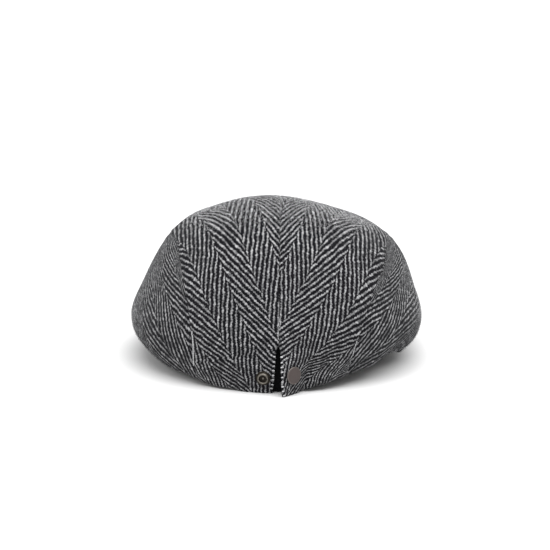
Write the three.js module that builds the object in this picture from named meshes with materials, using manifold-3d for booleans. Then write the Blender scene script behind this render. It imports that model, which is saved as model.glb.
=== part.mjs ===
// Flat cap in herringbone cloth, lying on a flat surface with its back slit undone.
// Millimetres, +Z up. The back of the cap faces -Y, the peak points along +Y, and the wearer's right is +X.

import * as THREE from 'three';
import { mergeVertices } from 'three/addons/utils/BufferGeometryUtils.js';
import Module from 'manifold-3d';

const wasm = await Module();
wasm.setup();

// Crown
const crownWidth = 205; // widest part of the crown
const crownLength = 249; // back of the crown to its overhang above the peak
const crownHeight = 119;
const clothThickness = 2;
const foldDepth = 5; // measure for the dents and folds
const crownLean = 2.2; // sideways lean of the crown's top
const restingDepth = 0.5; // how far cloth flattens where it lies on the surface

// Back slit
const slitHeight = 33;
const slitOpening = 7.5; // between the flaps at the hem
const flapSwing = 8.4; // how far the edge of the right flap swings outward
const flapSwingWidth = 10; // distance from the slit over which the swing fades
const flapSwingFull = 0.85; // share of the way down the slit where it is at its fullest

// Gap between pieces that are sewn or set together
const clearance = 0.3;

// Sweatband
const bandHeight = 34;
const bandThickness = 1.2;
const bandLift = 1; // band's lower edge above the hem
const bandTopOffset = 0.4; // how far its upper edge stands out from its lower edge
const bandDrop = 3; // how much lower it is sewn over the root of the peak

// Peak
const peakThickness = 4;
const peakReach = 52; // root to outer edge on the centre line
const peakCamber = 0.8;
const peakEdgeSoftening = 0.8; // how much thinner it is at its outer edge
const peakStartAngle = 118; // where its tips begin, round the head from the back
const peakCoverReach = 0.75; // part of the crown from here to the hem that lies over the peak

// Press snap: the stud is on the left flap, the cap on the right flap
const snapHeightLeft = 11.6;
const snapHeightRight = 14.6;
const snapAngle = 5.4;
const neckDiameter = 3;
const studFlangeDiameter = 9.8;
const studPostDiameter = 5.8;
const studPostHeight = 1.3;
const studHoleDiameter = 2.6;
const studPlateDiameter = 8.4;
const plateThickness = 0.8;
const snapRimThickness = 0.9;
const snapRounding = 0.4; // chamfer of the snap's outer edges
const capDiameter = 12.2;
const capDome = 0.5;
const socketDiameter = 8.8;
const socketDepth = 1.8;
const socketMouthDiameter = 3.6;
const seatDepth = 0.15; // flat pressed into the cloth by each half

// Numbers of cells along the edges of the panels
const seamCells = 46;
const topPanelCells = 36; // of those, along the long edges of a top panel
const sidePanelCells = 16; // and up the back edge of a side panel
const slitCells = 6;

const degree = Math.PI / 180;

function namedRows(columns, rows) {
  return rows.map((row) => Object.fromEntries(columns.map((name, i) => [name, row[i]])));
}

// Sections of the crown from its top (reach 0) to its hem (reach 1), where each closed ring passes
// the back, the widest side and the front. x is a share of crownWidth, y of crownLength and
// z of crownHeight. fullBack and fullFront square the ring's corners.
const crownRings = namedRows(
  ['reach', 'backY', 'backZ', 'sideX', 'sideY', 'sideZ', 'frontY', 'frontZ', 'fullBack', 'fullFront'],
  [
    [0.00, 0.000, 0.983, 0.000, 0.000, 0.983, 0.000, 0.983, 0.00, 0.00],
    [0.15, -0.096, 0.998, 0.102, 0.000, 0.971, 0.108, 0.937, 0.10, 0.05],
    [0.30, -0.193, 0.956, 0.210, 0.008, 0.924, 0.217, 0.853, 0.20, 0.10],
    [0.45, -0.285, 0.849, 0.317, 0.016, 0.840, 0.329, 0.723, 0.25, 0.15],
    [0.60, -0.357, 0.676, 0.405, 0.024, 0.676, 0.434, 0.538, 0.22, 0.20],
    [0.75, -0.406, 0.471, 0.468, 0.032, 0.450, 0.522, 0.336, 0.15, 0.22],
    [0.88, -0.430, 0.252, 0.500, 0.036, 0.244, 0.570, 0.176, 0.08, 0.20],
    [0.94, -0.428, 0.126, 0.480, 0.024, 0.164, 0.522, 0.126, 0.05, 0.12],
    [1.00, -0.418, 0.000, 0.429, 0.000, 0.101, 0.402, 0.185, 0.03, 0.05],
  ],
);

// Side seams from the back hem over the shoulder to the front centre: reach, and the angle in degrees
// round the head from the back on the left and on the right side.
const seamRows = namedRows(
  ['reach', 'left', 'right'],
  [
    [1.00, 37, 31],
    [0.88, 32, 29.5],
    [0.75, 35.5, 35],
    [0.64, 43, 47],
    [0.56, 56, 64],
    [0.54, 77, 83],
    [0.57, 100, 102],
    [0.63, 122, 122],
    [0.72, 142, 142],
    [0.81, 162, 162],
    [0.86, 180, 180],
  ],
);

// Dents and folds: place by angle (left is negative) and reach, half length round the crown, half width
// across, both as shares of the reach, turn in degrees, push outward and lift as shares of foldDepth.
const foldRows = namedRows(
  ['angle', 'reach', 'length', 'width', 'turn', 'push', 'lift'],
  [
    [80, 0.32, 0.26, 0.24, 0, 0, -1.24], // right shoulder sinks
    [-66, 0.48, 0.20, 0.12, 0, 0, 0.32], // left shoulder stands up
    [-92, 0.90, 0.30, 0.14, 0, 0.39, 0], // left side is full
    [-72, 0.97, 0.26, 0.10, 0, 0.34, 0.16], // and fuller towards its hem
    [95, 0.62, 0.20, 0.10, 0, 0.25, 0], // right side is a little full
    [17, 1.00, 0.14, 0.16, 0, 0, 0.70], // right hem lifts off the surface
    [34, 1.00, 0.24, 0.16, 0, 0, 1.42],
    [60, 1.00, 0.26, 0.16, 0, 0, 1.80],
    [78, 0.97, 0.26, 0.10, 0, 0, -0.82], // and sinks again at the side
    [-20, 1.00, 0.14, 0.12, 0, 0, 0.45], // left hem lifts a little
    [-42, 1.00, 0.20, 0.12, 0, 0, 0.48],
    [3, 1.00, 0.16, 0.14, 0, 0.26, 0], // both flaps stand out a little
    [19, 0.93, 0.16, 0.035, 8, -0.36, 0], // fold running out from the snap
    [17, 1.00, 0.14, 0.035, 8, 0.24, 0],
    [96, 0.86, 0.07, 0.10, 25, -0.22, 0], // shallow dents in the right side
    [84, 0.80, 0.06, 0.10, -15, -0.16, 0],
  ],
);

// Outer edge of the peak, from its tip to the centre: angle round the head, offset from the root sideways and
// forward as shares of peakReach, and height of its underside as a share of crownHeight.
const peakRows = namedRows(
  ['angle', 'side', 'forward', 'rise'],
  [
    [118, 0.06, 0.10, 0.095],
    [125, 0.24, 0.35, 0.045],
    [135, 0.36, 0.65, -0.004],
    [150, 0.31, 0.88, -0.004],
    [165, 0.16, 0.98, 0.014],
    [180, 0.00, 1.00, 0.034],
  ],
);

// Smooth curve through the values given at rising positions.
function smoothCurve(positions, values) {
  const last = positions.length - 1;
  const step = positions.slice(1).map((position, i) => position - positions[i]);
  const rise = step.map((length, i) => (values[i + 1] - values[i]) / length);
  const slope = positions.map((_, i) => {
    if (i === 0 || i === last) return 0;
    return (rise[i - 1] * step[i] + rise[i] * step[i - 1]) / (step[i - 1] + step[i]);
  });
  slope[0] = 1.5 * rise[0] - 0.5 * slope[1];
  slope[last] = 1.5 * rise[last - 1] - 0.5 * slope[last - 1];
  return (at) => {
    let i = 0;
    while (i < last - 1 && at >= positions[i + 1]) i += 1;
    const t = (at - positions[i]) / step[i];
    const fromStart = (1 + 2 * t) * (1 - t) ** 2 * values[i] + t * (1 - t) ** 2 * step[i] * slope[i];
    const fromEnd = t * t * (3 - 2 * t) * values[i + 1] + t * t * (t - 1) * step[i] * slope[i + 1];
    return fromStart + fromEnd;
  };
}

// Profile of one column of crownRings, continued through the top of the crown to the other side.
function ringProfile(before, after, size, sign = 1) {
  const outward = crownRings.slice(1);
  const reaches = outward.map((ring) => ring.reach);
  const positions = [...reaches.map((reach) => -reach).reverse(), 0, ...reaches];
  const values = [
    ...outward.map((ring) => sign * ring[before] * size).reverse(),
    crownRings[0][after] * size,
    ...outward.map((ring) => ring[after] * size),
  ];
  return smoothCurve(positions, values);
}

const centreY = ringProfile('backY', 'frontY', crownLength);
const centreZ = ringProfile('backZ', 'frontZ', crownHeight);
const sideX = ringProfile('sideX', 'sideX', crownWidth, -1);
const sideY = ringProfile('sideY', 'sideY', crownLength);
const sideZ = ringProfile('sideZ', 'sideZ', crownHeight);
const fullBack = ringProfile('fullBack', 'fullBack', 1);
const fullFront = ringProfile('fullFront', 'fullFront', 1);

// The crown's chart is a disc: the top is its middle, the hem its rim, and the back centre lies along -y.
function chartPoint(angle, reach) {
  return new THREE.Vector2(reach * Math.sin(angle * degree), -reach * Math.cos(angle * degree));
}

// Even crown without folds, at one point of the chart.
function ringPoint(chart) {
  const reach = Math.max(chart.length(), 1e-9);
  const sine = chart.x / reach;
  const cosine = -chart.y / reach;
  const full = (fullBack(reach) * (1 + cosine) + fullFront(reach) * (1 - cosine)) / 2;
  const widen = 1 + full * cosine * cosine;
  const across = (back, side, front) => {
    return side + ((back - front) / 2) * cosine + ((back + front) / 2 - side) * cosine * cosine;
  };
  return new THREE.Vector3(
    sideX(reach) * sine * widen,
    across(centreY(-reach), sideY(reach), centreY(reach)),
    across(centreZ(-reach), sideZ(reach), centreZ(reach)),
  );
}

// Chart reach that lies a given way up from the hem, measured on the cloth.
function reachAbove(angle, height) {
  const hem = ringPoint(chartPoint(angle, 1));
  const halvings = 30;
  let low = 0.5;
  let high = 1;
  for (let i = 0; i < halvings; i += 1) {
    const middle = (low + high) / 2;
    if (ringPoint(chartPoint(angle, middle)).distanceTo(hem) > height) low = middle;
    else high = middle;
  }
  return (low + high) / 2;
}

const slitTop = reachAbove(0, slitHeight);
const hemPerChartUnit = sideX(1) * (1 + fullBack(1)); // millimetres across one unit of the chart at the hem

// Outward swing of the right flap about the top of the slit.
function swingOfFlap(chart) {
  if (chart.x < 0) return 0;
  const fullest = THREE.MathUtils.lerp(slitTop, 1, flapSwingFull);
  const down = THREE.MathUtils.smoothstep(-chart.y, slitTop, fullest);
  return flapSwing * down * Math.exp(-(((chart.x * hemPerChartUnit) / flapSwingWidth) ** 2));
}

// Outward direction of a surface given over the chart.
function surfaceNormal(surface, chart) {
  const small = 1e-3;
  const along = (x, y) => surface(new THREE.Vector2(chart.x + x, chart.y + y));
  const acrossStep = along(small, 0).sub(along(-small, 0));
  const forwardStep = along(0, small).sub(along(0, -small));
  return acrossStep.cross(forwardStep).normalize();
}

function foldStrength(fold, chart) {
  const place = chartPoint(fold.angle, fold.reach);
  const turned = (fold.angle + fold.turn) * degree;
  const x = chart.x - place.x;
  const y = chart.y - place.y;
  const along = x * Math.cos(turned) + y * Math.sin(turned);
  const across = -x * Math.sin(turned) + y * Math.cos(turned);
  return Math.exp(-((along / fold.length) ** 2) - (across / fold.width) ** 2);
}

// Outer face of the crown with its folds and lean.
function foldedPoint(chart) {
  const point = ringPoint(chart);
  const outward = surfaceNormal(ringPoint, chart);
  for (const fold of foldRows) {
    const strength = foldStrength(fold, chart) * foldDepth;
    point.addScaledVector(outward, fold.push * strength);
    point.z += fold.lift * strength;
  }
  point.addScaledVector(outward, swingOfFlap(chart));
  point.x += crownLean * THREE.MathUtils.clamp(point.z / crownHeight, 0, 1);
  return point;
}

const peakSide = smoothCurve(peakRows.map((row) => row.angle), peakRows.map((row) => row.side));
const peakForward = smoothCurve(peakRows.map((row) => row.angle), peakRows.map((row) => row.forward));
const peakRise = smoothCurve(peakRows.map((row) => row.angle), peakRows.map((row) => row.rise));

// One line across the peak, from its root on the head's ring to its outer edge.
function peakLine(angle) {
  const root = ringPoint(chartPoint(angle, 1));
  const headMiddleY = (centreY(-1) + centreY(1)) / 2;
  const inward = new THREE.Vector2(-root.x, headMiddleY - root.y).normalize();
  const mirrored = angle > 180 ? 360 - angle : angle;
  const side = angle > 180 ? -1 : 1;
  const edge = new THREE.Vector2(
    root.x + side * peakSide(mirrored) * peakReach,
    root.y + peakForward(mirrored) * peakReach,
  );
  return {
    root: new THREE.Vector2(root.x, root.y).addScaledVector(inward, clothThickness),
    edge,
    rootTop: root.z - clearance,
    edgeTop: peakRise(mirrored) * crownHeight + peakThickness,
  };
}

function peakTop(line, share) {
  const fall = 1 - (1 - share) ** 2;
  return THREE.MathUtils.lerp(line.rootTop, line.edgeTop, fall) + peakCamber * Math.sin(Math.PI * share);
}

// The crown's front lies on the peak, so it stays a clearance above it.
function crownPoint(chart) {
  const point = foldedPoint(chart);
  const fromBack = Math.abs(Math.atan2(chart.x, -chart.y)) / degree;
  if (fromBack < peakStartAngle || chart.length() < peakCoverReach) return point;
  const line = peakLine(fromBack);
  const flat = new THREE.Vector2(Math.abs(point.x), point.y);
  const share = flat.distanceTo(line.root) / line.edge.distanceTo(line.root);
  if (share < 1) point.z = Math.max(point.z, peakTop(line, share) + clearance);
  return point;
}

// Everything sinks by the depth that cloth gives, and nothing goes below the surface.
function settled(point) {
  return point.setZ(Math.max(0, point.z - restingDepth));
}

// Geometry from points and triangles
function meshGeometry(points, triangles) {
  const geometry = new THREE.BufferGeometry();
  geometry.setAttribute('position', new THREE.Float32BufferAttribute(points.flatMap((p) => p.toArray()), 3));
  geometry.setIndex(triangles.flat());
  geometry.computeVertexNormals();
  return geometry;
}

function toSolid(geometry) {
  const bare = geometry.clone();
  bare.deleteAttribute('normal');
  bare.deleteAttribute('uv');
  const merged = mergeVertices(bare, 1e-5);
  return new wasm.Manifold(new wasm.Mesh({
    numProp: 3,
    vertProperties: new Float32Array(merged.attributes.position.array),
    triVerts: new Uint32Array(merged.index.array),
  }));
}

function fromSolid(solid) {
  const mesh = solid.getMesh();
  const geometry = new THREE.BufferGeometry();
  geometry.setAttribute('position', new THREE.Float32BufferAttribute(mesh.vertProperties, 3));
  geometry.setIndex(Array.from(mesh.triVerts));
  geometry.computeVertexNormals();
  return geometry;
}

// A wall between two grids of points: the first is its outer face, the second its inner face.
function wallGeometry(outer, inner, flip = false) {
  const rows = outer.length;
  const columns = outer[0].length;
  const count = rows * columns;
  const outerIndex = (i, j) => i * columns + j;
  const triangles = [];
  const add = (a, b, c) => triangles.push(flip ? [a, c, b] : [a, b, c]);
  for (let i = 0; i < rows - 1; i += 1) {
    for (let j = 0; j < columns - 1; j += 1) {
      const a = outerIndex(i, j);
      const b = outerIndex(i + 1, j);
      const c = outerIndex(i + 1, j + 1);
      const d = outerIndex(i, j + 1);
      add(a, b, c);
      add(a, c, d);
      add(a + count, c + count, b + count);
      add(a + count, d + count, c + count);
    }
  }
  const rim = [];
  for (let i = 0; i < rows - 1; i += 1) rim.push(outerIndex(i, 0));
  for (let j = 0; j < columns - 1; j += 1) rim.push(outerIndex(rows - 1, j));
  for (let i = rows - 1; i > 0; i -= 1) rim.push(outerIndex(i, columns - 1));
  for (let j = columns - 1; j > 0; j -= 1) rim.push(outerIndex(0, j));
  rim.forEach((a, i) => {
    const b = rim[(i + 1) % rim.length];
    add(a, a + count, b);
    add(b, a + count, b + count);
  });
  return meshGeometry([...outer.flat(), ...inner.flat()], triangles);
}

// Seams: each is a list of chart points, with the direction across the seam in the cloth at each one.
function seamLine(charts) {
  const points = charts.map((chart) => crownPoint(chart));
  return charts.map((chart, i) => {
    const before = points[Math.max(i - 1, 0)];
    const after = points[Math.min(i + 1, points.length - 1)];
    const along = after.clone().sub(before);
    return { chart, across: surfaceNormal(crownPoint, chart).cross(along).normalize() };
  });
}

// The same line seen from one of the two panels that it joins.
function trimmed(line, side) {
  const half = (side * clearance) / 2;
  return line.map(({ chart, across }) => ({ chart, trim: across.clone().multiplyScalar(half) }));
}

function sideSeam(side) {
  const column = side < 0 ? 'left' : 'right';
  const places = seamRows.map((row) => chartPoint(side * row[column], row.reach));
  const beyond = places[places.length - 2];
  places.push(new THREE.Vector2(-beyond.x, beyond.y));
  const positions = places.map((_, i) => i);
  const x = smoothCurve(positions, places.map((place) => place.x));
  const y = smoothCurve(positions, places.map((place) => place.y));
  const charts = [];
  for (let i = 0; i <= seamCells; i += 1) {
    const at = (i / seamCells) * (seamRows.length - 1);
    charts.push(new THREE.Vector2(i === seamCells ? 0 : x(at), y(at)));
  }
  return seamLine(charts);
}

const frontReach = seamRows[seamRows.length - 1].reach;

// Centre line of the crown from the back hem to the front, parted below the top of the slit.
function centreSeam(side) {
  const charts = [];
  for (let i = 0; i <= topPanelCells; i += 1) {
    const below = 1 - i / slitCells;
    const above = (i - slitCells) / (topPanelCells - slitCells);
    const open = (Math.max(below, 0) * slitOpening) / 2 / hemPerChartUnit;
    const forward = below > 0 ? slitTop + (1 - slitTop) * below : slitTop - (slitTop + frontReach) * above;
    charts.push(new THREE.Vector2(side * open, -forward));
  }
  return seamLine(charts);
}

function hemLine(side, fromAngle, toAngle, cells) {
  const line = [];
  for (let i = 0; i <= cells; i += 1) {
    const angle = THREE.MathUtils.lerp(fromAngle, toAngle, i / cells);
    line.push({ chart: chartPoint(side * angle, 1) });
  }
  line[cells].chart.x = toAngle === 180 ? 0 : line[cells].chart.x;
  return line;
}

// Fills the space between four edges with cloth. Edges run bottom and top from left to right, and left and
// right from bottom to top.
function panelGeometry({ bottom, top, left, right, flip }) {
  const lastColumn = bottom.length - 1;
  const lastRow = left.length - 1;
  const outer = [];
  const inner = [];
  for (let i = 0; i <= lastColumn; i += 1) {
    const u = i / lastColumn;
    const outerColumn = [];
    const innerColumn = [];
    for (let j = 0; j <= lastRow; j += 1) {
      const v = j / lastRow;
      const chart = new THREE.Vector2();
      chart.addScaledVector(bottom[i].chart, 1 - v).addScaledVector(top[i].chart, v);
      chart.addScaledVector(left[j].chart, 1 - u).addScaledVector(right[j].chart, u);
      chart.addScaledVector(left[0].chart, -(1 - u) * (1 - v)).addScaledVector(right[0].chart, -u * (1 - v));
      chart.addScaledVector(left[lastRow].chart, -(1 - u) * v).addScaledVector(right[lastRow].chart, -u * v);
      const onEdge = new Set();
      if (i === 0) onEdge.add(left[j].trim);
      if (i === lastColumn) onEdge.add(right[j].trim);
      if (j === 0) onEdge.add(bottom[i].trim);
      if (j === lastRow) onEdge.add(top[i].trim);
      const point = crownPoint(chart);
      const normal = surfaceNormal(crownPoint, chart);
      onEdge.forEach((trim) => trim && point.add(trim));
      innerColumn.push(settled(point.clone().addScaledVector(normal, -clothThickness)));
      outerColumn.push(settled(point));
    }
    outer.push(outerColumn);
    inner.push(innerColumn);
  }
  return wallGeometry(outer, inner, flip);
}

const seams = { '-1': sideSeam(-1), 1: sideSeam(1) };

function topPanel(side) {
  const seam = trimmed(seams[side], side);
  const centre = trimmed(centreSeam(side), -side);
  const hemEnd = side < 0 ? seamRows[0].left : seamRows[0].right;
  const bottom = hemLine(side, 0, hemEnd, seamCells - topPanelCells);
  bottom.forEach((place, i) => {
    const share = 1 - i / (bottom.length - 1);
    place.chart.x += centre[0].chart.x * share;
  });
  return panelGeometry({
    left: centre,
    right: seam.slice(0, topPanelCells + 1),
    bottom,
    top: seam.slice(topPanelCells).reverse(),
    flip: side < 0,
  });
}

function sidePanel(side) {
  const seam = trimmed(seams[side], -side);
  const hemEnd = side < 0 ? seamRows[0].left : seamRows[0].right;
  const frontCharts = [];
  for (let i = 0; i <= sidePanelCells; i += 1) {
    frontCharts.push(new THREE.Vector2(0, THREE.MathUtils.lerp(1, frontReach, i / sidePanelCells)));
  }
  const front = trimmed(seamLine(frontCharts), side);
  return panelGeometry({
    left: seam.slice(0, sidePanelCells + 1),
    right: front,
    bottom: hemLine(side, hemEnd, 180, seamCells - sidePanelCells),
    top: seam.slice(sidePanelCells),
    flip: side < 0,
  });
}

// Stiff peak under the front of the crown
function peakGeometry() {
  const acrossCells = 32;
  const forwardCells = 5;
  const top = [];
  const underside = [];
  for (let i = 0; i <= acrossCells; i += 1) {
    const angle = THREE.MathUtils.lerp(peakStartAngle, 360 - peakStartAngle, i / acrossCells);
    const line = peakLine(angle);
    const topColumn = [];
    const undersideColumn = [];
    for (let j = 0; j <= forwardCells; j += 1) {
      const share = j / forwardCells;
      const flat = line.root.clone().lerp(line.edge, share);
      const softening = j === forwardCells ? peakEdgeSoftening : 0;
      const height = peakTop(line, share);
      topColumn.push(settled(new THREE.Vector3(flat.x, flat.y, height - softening)));
      undersideColumn.push(settled(new THREE.Vector3(flat.x, flat.y, height - peakThickness)));
    }
    top.push(topColumn);
    underside.push(undersideColumn);
  }
  return wallGeometry(top, underside, true);
}

// Sweatband: a low wall inside the hem, all the way round
function bandGeometry() {
  const roundCells = 64;
  const levels = [0, 0.5, 1];
  const edges = levels.map(() => ({ outer: [], inner: [] }));
  for (let i = 0; i < roundCells; i += 1) {
    const angle = (360 * i) / roundCells;
    const chart = chartPoint(angle, 1);
    const hem = ringPoint(chart);
    const along = ringPoint(chartPoint(angle + 1, 1)).sub(ringPoint(chartPoint(angle - 1, 1)));
    const outward = new THREE.Vector3(along.y, -along.x, 0).normalize();
    const fromBack = Math.abs(Math.atan2(chart.x, -chart.y)) / degree;
    const overPeak = THREE.MathUtils.smoothstep(fromBack, peakStartAngle, 180);
    const bottom = foldedPoint(chart).z + bandLift - bandDrop * overPeak;
    levels.forEach((level, k) => {
      const foot = hem.clone().setZ(bottom + level * bandHeight);
      const outerFace = bandTopOffset * level - clothThickness - clearance;
      edges[k].outer.push(settled(foot.clone().addScaledVector(outward, outerFace)));
      edges[k].inner.push(settled(foot.clone().addScaledVector(outward, outerFace - bandThickness)));
    });
  }
  const loops = [...edges.map((edge) => edge.outer), ...edges.map((edge) => edge.inner).reverse()];
  const triangles = [];
  loops.forEach((_, k) => {
    const next = (k + 1) % loops.length;
    for (let i = 0; i < roundCells; i += 1) {
      const j = (i + 1) % roundCells;
      triangles.push([k * roundCells + i, k * roundCells + j, next * roundCells + j]);
      triangles.push([k * roundCells + i, next * roundCells + j, next * roundCells + i]);
    }
  });
  return meshGeometry(loops.flat(), triangles);
}

// Press snap. Profiles are (radius, height) from the axis on the inside to the axis on the outside, and
// height 0 is the outer face of the cloth.
const rimBase = clearance - seatDepth;
const plateTop = -clothThickness + seatDepth - clearance;

function studProfile() {
  const rimTop = rimBase + snapRimThickness;
  return [
    [0, plateTop - plateThickness],
    [studPlateDiameter / 2, plateTop - plateThickness],
    [studPlateDiameter / 2, plateTop],
    [neckDiameter / 2, plateTop],
    [neckDiameter / 2, rimBase],
    [studFlangeDiameter / 2, rimBase],
    [studFlangeDiameter / 2, rimTop - snapRounding],
    [studFlangeDiameter / 2 - snapRounding, rimTop],
    [studPostDiameter / 2 + snapRounding, rimTop],
    [studPostDiameter / 2, rimTop + studPostHeight - snapRounding],
    [studPostDiameter / 2 - snapRounding, rimTop + studPostHeight],
    [studHoleDiameter / 2 + snapRounding, rimTop + studPostHeight],
    [studHoleDiameter / 2, rimTop + studPostHeight - snapRounding],
    [studHoleDiameter / 2, rimTop],
    [0, rimTop],
  ];
}

function capProfile() {
  const rimTop = rimBase + snapRimThickness;
  return [
    [0, plateTop - plateThickness],
    [socketMouthDiameter / 2, plateTop - plateThickness],
    [socketMouthDiameter / 2, plateTop - socketDepth + snapRounding],
    [socketMouthDiameter / 2 + snapRounding, plateTop - socketDepth],
    [socketDiameter / 2 - snapRounding, plateTop - socketDepth],
    [socketDiameter / 2, plateTop - socketDepth + snapRounding],
    [socketDiameter / 2, plateTop],
    [neckDiameter / 2, plateTop],
    [neckDiameter / 2, rimBase],
    [capDiameter / 2, rimBase],
    [capDiameter / 2, rimTop - snapRounding],
    [capDiameter / 2 - snapRounding, rimTop],
    [capDiameter / 4, rimTop + capDome * 0.75],
    [0, rimTop + capDome],
  ];
}

// Stands a profile round the outward direction of the cloth at one place.
function standOnCloth(profile, place, segments) {
  const points = profile.map(([radius, height]) => new THREE.Vector2(radius, height));
  const geometry = new THREE.LatheGeometry(points, segments);
  const turn = new THREE.Quaternion().setFromUnitVectors(new THREE.Vector3(0, 1, 0), place.normal);
  geometry.applyQuaternion(turn);
  geometry.translate(...place.point.toArray());
  return geometry;
}

function snapPlace(side, height) {
  const chart = chartPoint(side * snapAngle, reachAbove(side * snapAngle, height));
  return { point: settled(crownPoint(chart)), normal: surfaceNormal(crownPoint, chart) };
}

// Hole for the neck and a flat seat on each face of the cloth
function withSnapSeat(geometry, place, outerDiameter, innerDiameter) {
  const beyond = clothThickness * 2;
  const neckHole = neckDiameter / 2 + clearance;
  const outerSeat = outerDiameter / 2 + clearance;
  const innerSeat = innerDiameter / 2 + clearance;
  const cutter = [
    [0, -clothThickness - beyond],
    [innerSeat, -clothThickness - beyond],
    [innerSeat, -clothThickness + seatDepth],
    [neckHole, -clothThickness + seatDepth],
    [neckHole, -seatDepth],
    [outerSeat, -seatDepth],
    [outerSeat, beyond],
    [0, beyond],
  ];
  const cut = toSolid(standOnCloth(cutter, place, 24));
  return fromSolid(toSolid(geometry).subtract(cut));
}

const studPlace = snapPlace(-1, snapHeightLeft);
const capPlace = snapPlace(1, snapHeightRight);

const tweed = { color: '#6b6c70', roughness: 0.95, metalness: 0 };
const blackCloth = { color: '#151517', roughness: 0.9, metalness: 0 };
const agedBrass = { color: '#75624a', roughness: 0.4, metalness: 1 };
const brownMetal = { color: '#645856', roughness: 0.45, metalness: 1 };

const cap = new THREE.Group();
cap.name = 'flat_cap';

function addPiece(name, geometry, finish) {
  const piece = new THREE.Mesh(geometry, new THREE.MeshStandardMaterial(finish));
  piece.name = name;
  cap.add(piece);
}

const leftFlap = withSnapSeat(topPanel(-1), studPlace, studFlangeDiameter, studPlateDiameter);
const rightFlap = withSnapSeat(topPanel(1), capPlace, capDiameter, socketDiameter);
addPiece('top_panel_left', leftFlap, tweed);
addPiece('top_panel_right', rightFlap, tweed);
addPiece('side_panel_left', sidePanel(-1), tweed);
addPiece('side_panel_right', sidePanel(1), tweed);
addPiece('peak', peakGeometry(), tweed);
addPiece('sweatband', bandGeometry(), blackCloth);
addPiece('snap_stud', standOnCloth(studProfile(), studPlace, 20), agedBrass);
addPiece('snap_cap', standOnCloth(capProfile(), capPlace, 24), brownMetal);

// The origin is on the surface below the middle of the cap.
const extent = new THREE.Box3().setFromObject(cap);
const middle = extent.getCenter(new THREE.Vector3());
cap.position.set(-middle.x, -middle.y, -extent.min.z);
cap.updateMatrixWorld(true);

export default cap;
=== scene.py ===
import math

import bpy
import numpy as np
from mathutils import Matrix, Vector


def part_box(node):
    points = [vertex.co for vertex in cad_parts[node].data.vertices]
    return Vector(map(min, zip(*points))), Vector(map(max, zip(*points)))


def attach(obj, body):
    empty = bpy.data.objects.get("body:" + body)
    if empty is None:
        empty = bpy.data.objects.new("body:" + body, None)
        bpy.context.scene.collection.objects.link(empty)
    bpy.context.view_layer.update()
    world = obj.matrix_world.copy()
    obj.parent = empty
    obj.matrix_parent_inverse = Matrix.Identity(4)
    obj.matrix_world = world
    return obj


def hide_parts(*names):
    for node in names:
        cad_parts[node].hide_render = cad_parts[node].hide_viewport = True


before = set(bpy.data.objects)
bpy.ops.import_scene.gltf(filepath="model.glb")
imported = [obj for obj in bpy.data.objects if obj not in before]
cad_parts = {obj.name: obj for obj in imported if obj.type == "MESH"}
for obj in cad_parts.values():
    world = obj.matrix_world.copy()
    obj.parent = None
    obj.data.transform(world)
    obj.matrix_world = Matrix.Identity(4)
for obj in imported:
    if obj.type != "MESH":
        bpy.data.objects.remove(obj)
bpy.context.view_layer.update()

mm = 0.001
rng = np.random.default_rng(28)

# Sizes in millimetres, as the frame was made
crown = {
    "width": 205.0,
    "length": 249.0,
    "height": 119.0,
    "thickness": 2.0,
    "foldDepth": 5.0,
    "lean": 2.2,  # sideways lean of the top
    "restingDepth": 0.5,  # how far cloth flattens where it lies
    "slitHeight": 33.0,
    "slitOpening": 7.5,
    "flapSwing": 8.4,  # how far the edge of the right flap swings outward
    "flapSwingWidth": 10.0,
    "flapSwingFull": 0.85,  # share of the way down the slit where it is at its fullest
    "edgeRounding": 1.15,  # folded edges at the slit and hem
    "seamRounding": 0.55,  # turned edges along the seams
    "seamSwell": 0.35,  # turned cloth below a seam lifts it this much
    "swellPlace": 3.2,  # from the seam
    "swellWidth": 2.4,
    "pucker": (0.35, 0.9, 2, 15),  # share of the swell, pace along the seam, strays and their size
    "waves": ((0.28, 24, 5), (0.12, 7, 9)),  # height, size and seed of the uneven cloth
    "seamEnd": 36 / 46,  # share of a side seam that lies on the top panel's long edge
    "seamStart": 16 / 46,  # share of it up the back edge of a side panel
}

# Sections of the crown: reach, backY, backZ, sideX, sideY, sideZ, frontY, frontZ, fullBack, fullFront
crownRings = np.array([
    [0.00, 0.000, 0.983, 0.000, 0.000, 0.983, 0.000, 0.983, 0.00, 0.00],
    [0.15, -0.096, 0.998, 0.102, 0.000, 0.971, 0.108, 0.937, 0.10, 0.05],
    [0.30, -0.193, 0.956, 0.210, 0.008, 0.924, 0.217, 0.853, 0.20, 0.10],
    [0.45, -0.285, 0.849, 0.317, 0.016, 0.840, 0.329, 0.723, 0.25, 0.15],
    [0.60, -0.357, 0.676, 0.405, 0.024, 0.676, 0.434, 0.538, 0.22, 0.20],
    [0.75, -0.406, 0.471, 0.468, 0.032, 0.450, 0.522, 0.336, 0.15, 0.22],
    [0.88, -0.430, 0.252, 0.500, 0.036, 0.244, 0.570, 0.176, 0.08, 0.20],
    [0.94, -0.428, 0.126, 0.480, 0.024, 0.164, 0.522, 0.126, 0.05, 0.12],
    [1.00, -0.418, 0.000, 0.429, 0.000, 0.101, 0.402, 0.185, 0.03, 0.05],
])

# Side seams: reach, left angle, right angle
seamRows = np.array([
    [1.00, 37, 31],
    [0.88, 32, 29.5],
    [0.75, 35.5, 35],
    [0.64, 43, 47],
    [0.56, 56, 64],
    [0.54, 77, 83],
    [0.57, 100, 102],
    [0.63, 122, 122],
    [0.72, 142, 142],
    [0.81, 162, 162],
    [0.86, 180, 180],
])

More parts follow.
